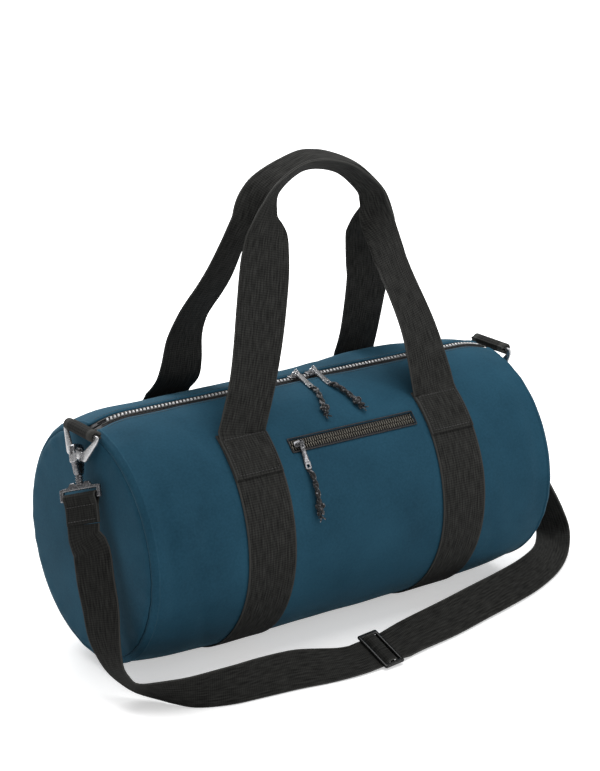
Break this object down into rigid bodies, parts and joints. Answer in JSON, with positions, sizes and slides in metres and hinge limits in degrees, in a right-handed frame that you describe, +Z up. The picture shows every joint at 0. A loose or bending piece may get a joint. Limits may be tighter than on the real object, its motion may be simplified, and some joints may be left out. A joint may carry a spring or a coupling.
{
  "type": "sports bag",
  "caption": "Barrel-shaped sports bag with a top zip, a zipped front pocket, webbing carry handles and a clip-on shoulder strap with swivel snap hooks.",
  "frame": {"origin": "on the floor under the middle of the barrel", "axes": "+X along the barrel, -Y to the front with the pocket, +Z up"},
  "size_m": [0.6394, 0.3081, 0.4921],
  "materials": {
    "canvas": "woven polyester, matte",
    "webbing": "ribbed webbing, matte",
    "zip_tape": "herringbone tape",
    "lining": "thin woven lining",
    "zip_metal": "tumbled",
    "pocket_metal": "moulded",
    "slider_metal": "dark nickel plate",
    "fitting_metal": "black nickel plate",
    "adjuster": "semi-gloss",
    "cord": "twisted cord"
  },
  "bodies": {
    "bag": {"barrel_panel": "canvas", "end_panel_left": "canvas", "end_panel_right": "canvas", "seam_binding_left": "lining", "seam_binding_right": "lining", "band_left": "webbing", "band_right": "webbing", "handle_foot_front_left": "webbing", "handle_foot_front_right": "webbing", "handle_foot_back_left": "webbing", "handle_foot_back_right": "webbing", "zip_tape_front": "zip_tape", "zip_tape_back": "zip_tape", "zip_teeth_front": "zip_metal", "zip_teeth_back": "zip_metal", "pocket_frame": "zip_tape", "pocket_tape_upper": "zip_tape", "pocket_tape_lower": "zip_tape", "pocket_teeth_upper": "pocket_metal", "pocket_teeth_lower": "pocket_metal", "pocket_bag": "lining", "ring_loop_left": "webbing", "ring_loop_right": "webbing", "shoulder_strap": "webbing"},
    "front_handle": {"front_handle": "webbing"},
    "back_handle": {"back_handle": "webbing"},
    "strap_adjuster": {"strap_adjuster": "adjuster"},
    "slider_left": {"slider_left": "slider_metal"},
    "ring_left": {"ring_left": "fitting_metal"},
    "hook_left": {"hook_left": "fitting_metal"},
    "gate_left": {"gate_left": "fitting_metal"},
    "strap_base_left": {"hook_base_left": "fitting_metal", "strap_end_left": "webbing"},
    "slider_right": {"slider_right": "slider_metal"},
    "ring_right": {"ring_right": "fitting_metal"},
    "hook_right": {"hook_right": "fitting_metal"},
    "gate_right": {"gate_right": "fitting_metal"},
    "strap_base_right": {"hook_base_right": "fitting_metal", "strap_end_right": "webbing"},
    "slider_pocket": {"slider_pocket": "slider_metal"},
    "pull_left": {"pull_left_link": "slider_metal", "pull_left_tab": "slider_metal", "pull_left_cord": "cord"},
    "pull_right": {"pull_right_link": "slider_metal", "pull_right_tab": "slider_metal", "pull_right_cord": "cord"},
    "pull_pocket": {"pull_pocket_link": "slider_metal", "pull_pocket_tab": "slider_metal", "pull_pocket_cord": "cord"}
  },
  "joints": [
    {"name": "front_handle_fold", "type": "hinge", "parent": "bag", "child": "front_handle", "pos_m": [0, -0.07137, 0.24018], "axis": [1, 0, 0], "range_deg": [0, 115]},
    {"name": "back_handle_fold", "type": "hinge", "parent": "bag", "child": "back_handle", "pos_m": [0, 0.07137, 0.24018], "axis": [-1, 0, 0], "range_deg": [0, 115]},
    {"name": "zip_slider_left", "type": "slide", "parent": "bag", "child": "slider_left", "axis": [-1, 0, 0], "range_m": [0, 0.18]},
    {"name": "zip_slider_right", "type": "slide", "parent": "bag", "child": "slider_right", "axis": [1, 0, 0], "range_m": [0, 0.18]},
    {"name": "pocket_slider", "type": "slide", "parent": "bag", "child": "slider_pocket", "axis": [1, 0, 0], "range_m": [0, 0.134]},
    {"name": "pull_left_swing", "type": "hinge", "parent": "slider_left", "child": "pull_left", "pos_m": [-0.0055, -0.0046, 0.2645], "axis": [-1, 0, 0], "range_deg": [0, 200], "deforming": ["pull_left_cord"]},
    {"name": "pull_right_swing", "type": "hinge", "parent": "slider_right", "child": "pull_right", "pos_m": [0.0165, -0.0046, 0.2645], "axis": [-1, 0, 0], "range_deg": [0, 200], "deforming": ["pull_right_cord"]},
    {"name": "pull_pocket_swing", "type": "hinge", "parent": "slider_pocket", "child": "pull_pocket", "pos_m": [-0.06, -0.09078, 0.22355], "axis": [-1, 0, 0], "range_deg": [0, 170], "deforming": ["pull_pocket_cord"]},
    {"name": "strap_adjuster_slide", "type": "slide", "parent": "bag", "child": "strap_adjuster", "axis": [0.9961, 0.0787, 0.0394], "range_m": [-0.02, 0.02]},
    {"name": "ring_left_swing", "type": "hinge", "parent": "bag", "child": "ring_left", "pos_m": [-0.258, -0.0046, 0.2502], "axis": [0, 1, 0], "range_deg": [0, 150]},
    {"name": "hook_left_swing", "type": "hinge", "parent": "ring_left", "child": "hook_left", "pos_m": [-0.26351, -0.0046, 0.22633], "axis": [0, 1, 0], "range_deg": [0, 25]},
    {"name": "gate_left_open", "type": "hinge", "parent": "hook_left", "child": "gate_left", "pos_m": [-0.27095, -0.01017, 0.22162], "axis": [-0.4329, 0.8443, -0.3158], "range_deg": [0, 8], "stiffness_Nm_per_rad": 0.02},
    {"name": "swivel_left", "type": "hinge", "parent": "hook_left", "child": "strap_base_left", "pos_m": [-0.26693, -0.01305, 0.20842], "axis": [-0.1702, -0.4205, -0.8912], "range_deg": [0, 50]},
    {"name": "ring_right_swing", "type": "hinge", "parent": "bag", "child": "ring_right", "pos_m": [0.258, -0.0046, 0.2502], "axis": [0, -1, 0], "range_deg": [0, 150]},
    {"name": "hook_right_swing", "type": "hinge", "parent": "ring_right", "child": "hook_right", "pos_m": [0.26351, -0.0046, 0.22633], "axis": [0, -1, 0], "range_deg": [0, 30]},
    {"name": "gate_right_open", "type": "hinge", "parent": "hook_right", "child": "gate_right", "pos_m": [0.27164, -0.0046, 0.21982], "axis": [0, -1, 0], "range_deg": [0, 10], "stiffness_Nm_per_rad": 0.02},
    {"name": "swivel_right", "type": "hinge", "parent": "hook_right", "child": "strap_base_right", "pos_m": [0.26693, -0.0046, 0.20652], "axis": [0.1701, 0, -0.9854], "range_deg": [-25, 25], "deforming": ["shoulder_strap"]}
  ]
}
